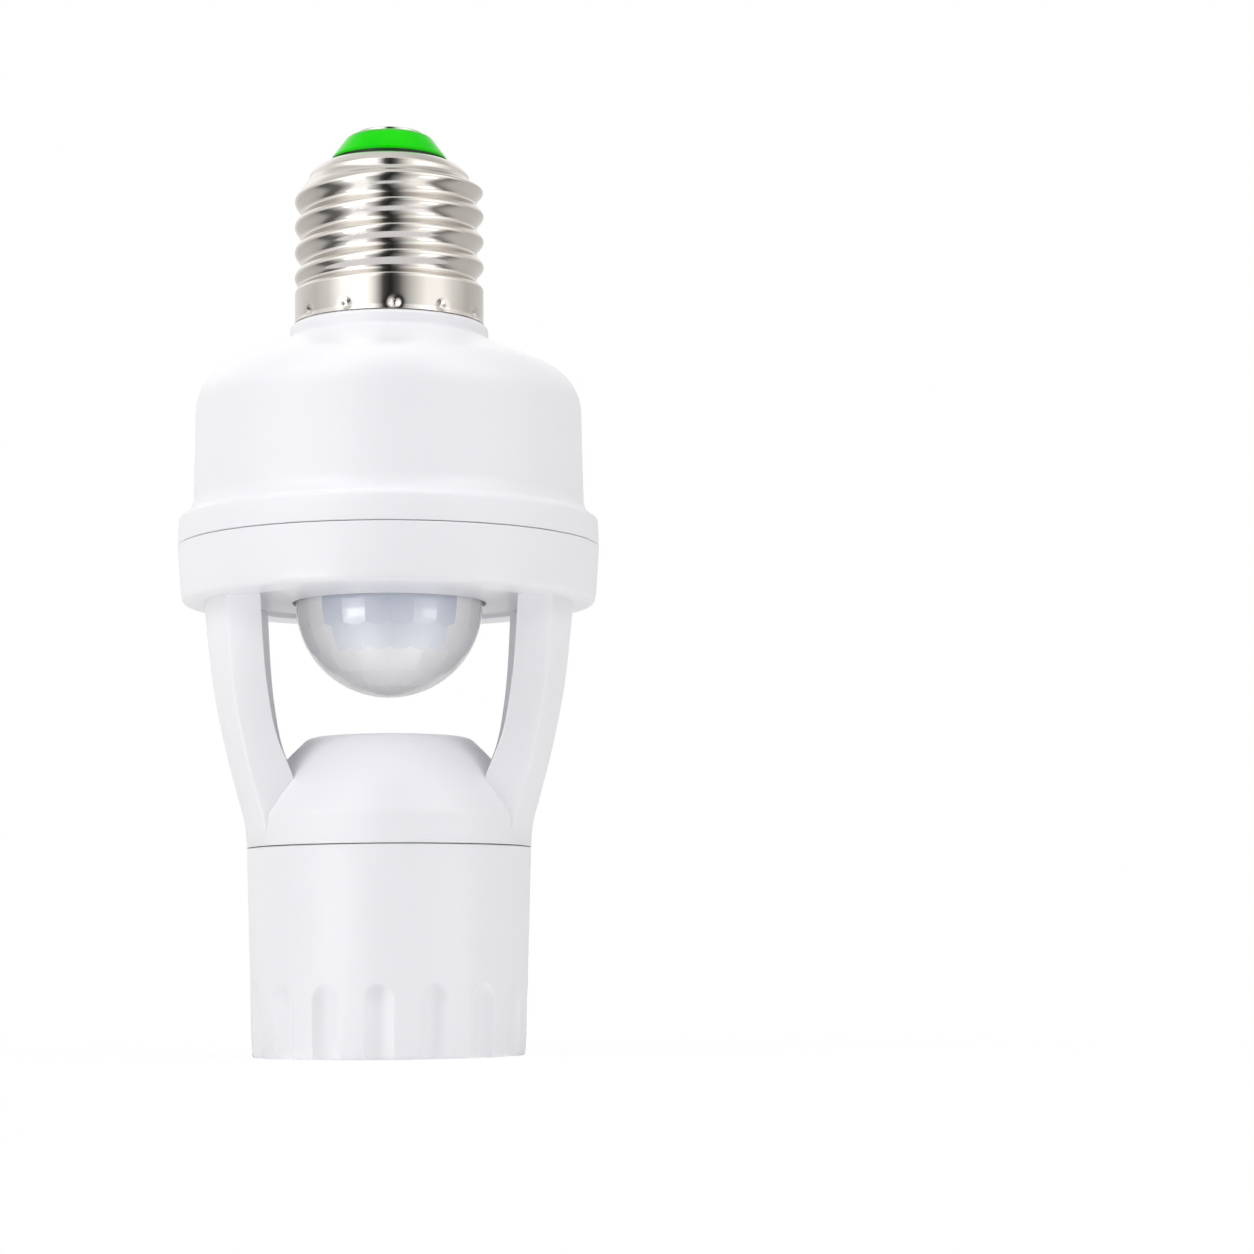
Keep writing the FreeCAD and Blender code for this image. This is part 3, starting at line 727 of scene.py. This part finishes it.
# %% Arms
def arm(side):
    """One arm: a block that is bent to the two turned walls and to its waisted width."""
    bm = bmesh.new()
    bmesh.ops.create_grid(bm, x_segments=20, y_segments=36, size=1.0)
    faces = bmesh.ops.extrude_face_region(bm, geom=bm.faces[:])["geom"]
    lifted = {item for item in faces if isinstance(item, bmesh.types.BMVert)}
    for vert in bm.verts:
        outside = vert in lifted
        z = ARM_FOOT + (ARM_TOP - ARM_FOOT) * (vert.co.y + 1) / 2
        wall = on_curve(ARM_OUTER if outside else ARM_INNER, z)
        across = vert.co.x * on_curve(ARM_OUTER_HALF if outside else ARM_INNER_HALF, z)
        vert.co = Vector((side * math.sqrt(wall ** 2 - across ** 2), across, z)) * MM
    bmesh.ops.recalc_face_normals(bm, faces=bm.faces)
    long_edges = [edge for edge in bm.edges
                  if edge.calc_face_angle(0) > SHARP
                  and abs(edge.verts[0].co.z - edge.verts[1].co.z) > STEEP * MM]
    bmesh.ops.bevel(bm, geom=long_edges, offset=ARM_BEVEL * MM, offset_type="OFFSET",
                    segments=4, profile=0.5, affect="EDGES", material=-1)
    return bm


# %% [markdown]
# The cone closes the socket from above and ties the feet of the arms together. Its flank is
# slightly domed, and it ends in a flat top with soft corners.

# %% Cone over the socket
def cone():
    outline = rounded(
        (19.43, 28.3, 0), (19.45, 28.6, 0.1), (19.15, 32.6, 0.6), (16.6, 37.4, 3.0),
        (13.75, 40.75, 1.5), (11.2, 43.25, 1.3), (9.6, 43.42, 0.8), (0, 43.44, 0))
    return lathe(outline, segments=192, closed=False)


# %% [markdown]
# The four meshes of the yoke run into each other and become one piece, as in the real moulding.

# %% Yoke
def yoke():
    bm = ring()
    join(bm, arm(1))
    join(bm, arm(-1))
    join(bm, cone())
    return add_piece("yoke_moulding", bm, HOUSING, ["yoke"])


yoke()

# %% [markdown]
# The cup is a thin tapered shell. Round its mouth run sixteen shallow flutes for the grip. The
# shell is lathed with enough faces, and each point under a flute moves inwards by a parabola,
# which leaves the crisp sides and the round top that a moulding tool leaves.

# %% Socket cup
CUP_TOP = high("socket_cup")
CUP_SHOULDER = 19.43
CUP_RIM = 18.6
FLUTES = 16
FLUTE_FIRST = math.radians(-4.1 - 90)
FLUTE_HALF = 2.0
FLUTE_TOP = 9.9
FLUTE_ARCH = 2.6
FLUTE_DEPTH = 0.92
CUP_INSIDE = 16.6
CUP_CHAMFER = 0.14
CUP_BENDS = ((19.11, 17.1), (18.93, 11.0), (18.77, 3.5), (CUP_RIM, 0.3))
CUP_OUTLINE = ((CUP_SHOULDER, 28.2), (19.31, 23.9), *CUP_BENDS)
FINE_BELOW = 11.0


def flute_depth(point):
    """How far a flute sinks the wall at a point given in millimetres."""
    step = 2 * math.pi / FLUTES
    angle = math.atan2(point.y, point.x) - FLUTE_FIRST
    off = ((angle + step / 2) % step - step / 2) * CUP_RIM
    over = max(0.0, point.z - (FLUTE_TOP - FLUTE_ARCH)) * FLUTE_HALF / FLUTE_ARCH
    return FLUTE_DEPTH * max(0.0, 1 - (off ** 2 + over ** 2) / FLUTE_HALF ** 2)


def cup():
    """Tapered shell with its flutes. The wall has finer rows where the flutes are."""
    upper = [Vector((on_curve(CUP_OUTLINE, z), z))
             for z in height_steps(CUP_TOP - CUP_CHAMFER, FINE_BELOW, 1.4)]
    lower = [Vector((on_curve(CUP_BENDS, z), z)) for z in height_steps(FINE_BELOW, 0.35, 0.3)]
    rim = rounded((CUP_RIM, 0.35, 0), (18.5, 0, 0.34), (16.9, 0, 0.2), (CUP_INSIDE, 0.5, 0.2),
                  (CUP_INSIDE, CUP_TOP, 0.1), (19.3, CUP_TOP, 0.05),
                  (CUP_SHOULDER, CUP_TOP - CUP_CHAMFER, 0))
    bm = lathe(upper + lower[1:] + rim[1:-1], segments=384)
    for vert in bm.verts:
        point = vert.co / MM
        flat = math.hypot(point.x, point.y)
        if flat > (CUP_INSIDE + CUP_RIM) / 2 and point.z < FLUTE_TOP:
            radius = flat - flute_depth(point)
            widen(vert, radius / flat)
    return add_piece("grip_cup", bm, HOUSING, ["socket_cup"], crease=24)


cup()

# %% [markdown]
# The dome's outside is smooth. Its inside is pressed into rows of small lens cells, so that the
# sensor sees the room in slices. Each cell is a shallow pillow with crisp borders. The rows
# have fewer cells towards the middle, and one round cell closes the bottom.

# %% Cells in the dome
DOME_WALL = 0.75
CELL_ROWS = ((0, 16, 24), (16, 32, 18), (32, 48, 14), (48, 68, 8), (68, 90, 1))
CELL_DEPTH = 0.34


def cell_depth(angle, slope):
    """Height of the pillow of a lens cell, from the turn and the slope below the rim."""
    for first, last, count in CELL_ROWS:
        if slope <= last:
            break
    step = 2 * math.pi / count
    across = (angle % step) / step * 2 - 1
    along = (slope - first) / (last - first) * 2 - 1
    if count == 1:
        return CELL_DEPTH * (1 - ((90 - slope) / (90 - first)) ** 2)
    return CELL_DEPTH * (1 - 0.5 * (across ** 2 + along ** 2))


# %% [markdown]
# The dome is a half ball with a flange that lies on the floor of the yoke. Its outline has a row
# of points on every border between cells and some in between, so the cells come out crisp.
# Only the points of its inner side are moved.

# %% Sensor dome
DOME_SLOPES = [*range(0, 49, 4), 53, 58, 63, 68, 73.5, 79, 84.5, 90]
DOME_FLANGE = 15.4
DOME_FLANGE_TOP = FLOOR_TOP + 0.8


def on_ball(radius, slope):
    """Point of the dome's outline, at a slope in degrees below its rim."""
    turn = math.radians(slope)
    return Vector((radius * math.cos(turn), DOME_CENTRE - radius * math.sin(turn)))


def dome():
    inner = DOME - DOME_WALL
    wall = [on_ball(DOME, slope) for slope in DOME_SLOPES]
    back = [on_ball(inner, slope) for slope in reversed(DOME_SLOPES)]
    flange = [Vector((inner, DOME_FLANGE_TOP)), Vector((DOME_FLANGE, DOME_FLANGE_TOP)),
              Vector((DOME_FLANGE, FLOOR_TOP)), Vector((DOME, FLOOR_TOP))]
    bm = lathe(wall + back + flange, segments=240)
    for vert in bm.verts:
        point = vert.co / MM - Vector((0, 0, DOME_CENTRE))
        if point.z > 0.01 or point.length > DOME - DOME_WALL / 2:
            continue
        slope = math.degrees(math.asin(min(1, -point.z / point.length)))
        angle = math.atan2(point.y, point.x) + math.pi / 2
        point *= 1 - cell_depth(angle, slope) / point.length
        vert.co = (point + Vector((0, 0, DOME_CENTRE))) * MM
    return add_piece("sensor_dome", bm, LENS, ["sensor_lens"], crease=12)


dome()

# %% [markdown]
# The socket's shell carries the female thread: the same rolled wave, seen from inside. It is
# wider than the cap's thread by the play that lets a lamp turn in easily, and its mouth opens
# out a little to guide the cap.

# %% Socket shell
SOCKET_CREST = 13.5
SOCKET_SHEET = 0.4
SOCKET_NECK = 12.9
SOCKET_HOLE = 7.2
SOCKET_THREAD_END = 20.5
SOCKET_RUNOUT = 2.0
MOUTH_HEIGHT = 1.4
MOUTH_FLARE = 0.4
FIRST_CREST = 2.8
SOCKET_LOW = low("screw_shell")
SOCKET_HIGH = high("screw_shell")


def socket_shell():
    """Threaded wall with an opened mouth and a turned-in top with a hole for the contacts."""
    heights = height_steps(SOCKET_LOW, SOCKET_HIGH - 0.5, 0.25)
    outer = [Vector((SOCKET_CREST, z)) for z in heights]
    inner = [Vector((SOCKET_CREST - SOCKET_SHEET, z)) for z in reversed(heights)]
    inner_neck = SOCKET_NECK - SOCKET_SHEET
    top = rounded((SOCKET_NECK, SOCKET_HIGH - 0.5, 0), (SOCKET_NECK, SOCKET_HIGH, 0.3),
                  (SOCKET_HOLE, SOCKET_HIGH, 0.1), (SOCKET_HOLE, SOCKET_HIGH - 0.4, 0.1),
                  (inner_neck, SOCKET_HIGH - 0.4, 0.2), (inner_neck, SOCKET_HIGH - 0.5, 0))
    bm = lathe(outer + top[1:-1] + inner, segments=192)
    for vert in bm.verts:
        point = vert.co / MM
        if point.z > SOCKET_HIGH - 0.45:
            continue
        flat = math.hypot(point.x, point.y)
        inside = flat < SOCKET_CREST - SOCKET_SHEET / 2
        mouth = 1 - soft_step((point.z - SOCKET_LOW) / MOUTH_HEIGHT)
        fall = soft_step((point.z - SOCKET_THREAD_END) / SOCKET_RUNOUT)
        thread = SOCKET_CREST - THREAD_DEPTH * (1 - thread_wave(point, SOCKET_LOW + FIRST_CREST))
        radius = thread * (1 - fall) + SOCKET_NECK * fall
        radius = radius * (1 - mouth) + (SOCKET_CREST + MOUTH_FLARE) * mouth
        radius -= SOCKET_SHEET if inside else 0
        widen(vert, radius / flat)
    return add_piece("socket_shell", bm, NICKEL, ["screw_shell"], crease=50)


socket_shell()

# %% [markdown]
# The studio is a white tent with a dark gap where the photograph is taken from. White plastic
# only needs even light, but nickel shows the tent itself: broad bright panels at both sides, and
# the dark gap as a streak down its middle. So the walls and the table each have a row of bands,
# laid out by direction round the object, that only glossy rays see. The bands stand still, so
# they stay where they are when the camera goes round.

# %% Bands of the tent
WALL_BANDS = ((0.0, 0.42), (0.1, 0.46), (0.22, 0.37), (0.28, 0.45), (0.35, 0.85), (0.42, 0.85),
              (0.445, 0.6), (0.478, 0.04), (0.505, 0.008), (0.53, 0.06), (0.57, 0.36),
              (0.63, 0.7), (0.68, 0.72), (0.73, 0.5), (0.8, 0.33), (0.9, 0.36), (1.0, 0.42))
TABLE_BANDS = ((0.0, 0.5), (0.15, 0.45), (0.215, 0.35), (0.25, 0.1), (0.285, 0.1), (0.33, 0.5),
               (0.355, 0.9), (0.41, 0.9), (0.44, 0.5), (0.478, 0.04), (0.505, 0.008),
               (0.54, 0.2), (0.62, 0.84), (0.67, 0.84), (0.715, 0.15), (0.78, 0.4), (1.0, 0.5))
WARMTH = (1.0, 0.985, 0.96)


def tent_bands(owner, direction, bands):
    """Colour of the bands by the turn round the object, and the height of the direction."""
    nodes = owner.node_tree.nodes
    links = owner.node_tree.links
    split = nodes.new("ShaderNodeSeparateXYZ")
    links.new(direction, split.inputs["Vector"])
    angle = calc(owner, "ARCTAN2", split.outputs["X"],
                 calc(owner, "MULTIPLY", split.outputs["Y"], -1.0))
    ramp = nodes.new("ShaderNodeValToRGB")
    links.new(ranged(owner, angle, -math.pi, math.pi), ramp.inputs["Fac"])
    stops = ramp.color_ramp.elements
    while len(stops) < len(bands):
        stops.new(0.5)
    for stop, (position, level) in zip(stops, bands):
        stop.position = position
        stop.color = (*[level * share for share in WARMTH], 1)
    return ramp.outputs["Color"], split.outputs["Z"]


def seen_plainly(owner, path):
    """1 for rays from the camera, also where they have passed through glass."""
    return calc(owner, "MAXIMUM", path.outputs["Is Camera Ray"],
                path.outputs["Is Transmission Ray"])


def glow(owner, strength):
    """Emission node with an even white light."""
    node = owner.node_tree.nodes.new("ShaderNodeEmission")
    node.inputs["Color"].default_value = (1, 1, 1, 1)
    node.inputs["Strength"].default_value = strength
    return node


# %% [markdown]
# The object stands on a plain white table in front of a white wall. For the camera the table
# is nearly white by itself, and near the foot a small share of its real surface is mixed in, so
# that a breath of shadow shows there. Diffuse rays see a pale surface that gives back a little
# more light than it gets, as a lit table does, which brightens the undersides.
# Glossy rays see the table's bands, with two bright pools in front, 0.2 to 0.4 m from
# the object. They make the two small windows of light on the dome.

# %% Table finish
TABLE_GREY = (0.7, 0.7, 0.7, 1)
TABLE_LIGHT = 0.31
SHADOW_NEAR = 0.02
SHADOW_FAR = 0.15
WHITE_NEAR = 0.93
POOL_DISTANCE = 0.3
POOL_HALF = 0.12
POOL_CORE = 0.1
POOL_LEVELS = (0.76, 0.88)
POOL_LIGHT = 6.0
BAND_LIGHT = 1.6


def table_bands(material, place, far):
    """Emission that shows glossy rays the bands of the table and its bright pools."""
    links = material.node_tree.links
    mirrored = glow(material, BAND_LIGHT)
    colour, _ = tent_bands(material, place, TABLE_BANDS)
    links.new(colour, mirrored.inputs["Color"])
    bright = ranged(material, colour, *POOL_LEVELS, 0.0, POOL_LIGHT)
    off = calc(material, "ABSOLUTE", calc(material, "SUBTRACT", far, POOL_DISTANCE))
    pool = calc(material, "MULTIPLY", bright, ranged(material, off, POOL_HALF, POOL_CORE))
    links.new(calc(material, "ADD", pool, BAND_LIGHT), mirrored.inputs["Strength"])
    return mirrored.outputs["Emission"]


def white_table():
    material = bpy.data.materials.new("white_table")
    material.use_nodes = True
    nodes = material.node_tree.nodes
    links = material.node_tree.links
    matte = nodes["Principled BSDF"]
    matte.inputs["Base Color"].default_value = TABLE_GREY
    matte.inputs["Roughness"].default_value = 0.9
    lit = nodes.new("ShaderNodeAddShader")
    links.new(matte.outputs["BSDF"], lit.inputs[0])
    links.new(glow(material, TABLE_LIGHT).outputs["Emission"], lit.inputs[1])
    place = nodes.new("ShaderNodeTexCoord").outputs["Object"]
    far = nodes.new("ShaderNodeVectorMath")
    far.operation = "LENGTH"
    links.new(place, far.inputs[0])
    far = far.outputs["Value"]
    path = nodes.new("ShaderNodeLightPath")
    white = calc(material, "MULTIPLY", seen_plainly(material, path),
                 ranged(material, far, SHADOW_NEAR, SHADOW_FAR, WHITE_NEAR, 1.0))
    plain = blend(material, white, lit.outputs["Shader"],
                  glow(material, 1.0).outputs["Emission"])
    final = blend(material, path.outputs["Is Glossy Ray"], plain,
                  table_bands(material, place, far))
    links.new(final, nodes["Material Output"].inputs["Surface"])
    return material


# %% Table
TABLE_RADIUS = 6.0
TABLE_DROP = 0.0001


def table():
    """Wide round plate, a hair below the cup so that the two don't touch."""
    bm = bmesh.new()
    bmesh.ops.create_circle(bm, cap_ends=True, radius=TABLE_RADIUS, segments=64)
    mesh = bpy.data.meshes.new("table")
    bm.to_mesh(mesh)
    bm.free()
    mesh.materials.append(white_table())
    obj = bpy.data.objects.new("table", mesh)
    bpy.context.scene.collection.objects.link(obj)
    obj.location.z = -TABLE_DROP
    print("table", 2 * TABLE_RADIUS, "m wide")


table()

# %% [markdown]
# The walls of the tent are the world itself. The camera sees plain white, which is strength 1.
# Glossy rays see the bands with a grey roof, brightest at the height of the panels. All other
# rays see an even, slightly cool light that fills the shadows.

# %% Walls of the tent
FILL_COLOUR = (0.96, 0.955, 1.0, 1)
FILL_LIGHT = 0.25
ROOF_GREY = (0.45, 0.45, 0.44, 1)
ROOF_START = 0.9
PANEL_MIDDLE = 0.5
PANEL_HALF = 0.22
PANEL_CORE = 0.1
WALL_LIGHT = 2.0
PANEL_LIGHT = 2.7


def backdrop(world, strength):
    """Background node with an even white light."""
    node = world.node_tree.nodes.new("ShaderNodeBackground")
    node.inputs["Color"].default_value = (1, 1, 1, 1)
    node.inputs["Strength"].default_value = strength
    return node


def tent():
    world = bpy.data.worlds.new("tent")
    bpy.context.scene.world = world
    world.use_nodes = True
    nodes = world.node_tree.nodes
    links = world.node_tree.links
    place = nodes.new("ShaderNodeTexCoord")
    walls, height = tent_bands(world, place.outputs["Generated"], WALL_BANDS)
    roof = nodes.new("ShaderNodeMix")
    roof.data_type = "RGBA"
    roof.inputs["B"].default_value = ROOF_GREY
    links.new(ranged(world, height, ROOF_START, 1.0), roof.inputs["Factor"])
    links.new(walls, roof.inputs["A"])
    off = calc(world, "ABSOLUTE", calc(world, "SUBTRACT", height, PANEL_MIDDLE))
    glossy = backdrop(world, WALL_LIGHT)
    links.new(roof.outputs["Result"], glossy.inputs["Color"])
    links.new(ranged(world, off, PANEL_HALF, PANEL_CORE, WALL_LIGHT, PANEL_LIGHT),
              glossy.inputs["Strength"])
    path = nodes.new("ShaderNodeLightPath")
    fill = nodes["Background"]
    fill.inputs["Color"].default_value = FILL_COLOUR
    fill.inputs["Strength"].default_value = FILL_LIGHT
    unseen = blend(world, path.outputs["Is Glossy Ray"], fill.outputs["Background"],
                   glossy.outputs["Background"])
    white = backdrop(world, 1.0)
    final = blend(world, seen_plainly(world, path), unseen, white.outputs["Background"])
    links.new(final, nodes["World Output"].inputs["Surface"])
    print("tent with", len(WALL_BANDS), "bands in its walls")


tent()

# %% [markdown]
# Two soft boxes hang high at both sides of the camera, so that the bell's shoulder and the cone
# come out bright, the fronts stay a little darker, and the arms' tops lie in the soft shade of
# the ring. Two more stand left and right, and one hangs above. The left ones are stronger.
# Glossy rays don't see them, because the bands of the tent already hold their panels, with soft
# borders instead of hard ones.

# %% Soft boxes
AIM_HEIGHT = 0.07


def soft_box(name, place, width, height, power):
    """Lamp of the given size in metres and power in watts, turned towards the object."""
    data = bpy.data.lights.new(name, "AREA")
    data.shape = "RECTANGLE"
    data.size = width
    data.size_y = height
    data.energy = power
    obj = bpy.data.objects.new(name, data)
    bpy.context.scene.collection.objects.link(obj)
    obj.location = place
    obj.visible_glossy = False
    aim = Vector((0, 0, AIM_HEIGHT)) - Vector(place)
    obj.rotation_euler = aim.to_track_quat("-Z", "Y").to_euler()
    print(name, "gives", power, "W")


soft_box("high_left_box", (-0.65, -0.55, 0.8), 0.6, 0.5, 3.75)
soft_box("high_right_box", (0.65, -0.55, 0.8), 0.6, 0.5, 3.0)
soft_box("left_box", (-0.8, -0.35, 0.3), 0.5, 0.9, 2.05)
soft_box("right_box", (0.8, -0.35, 0.3), 0.4, 0.9, 1.15)
soft_box("top_box", (0, 0, 1.0), 0.6, 0.6, 2.75)
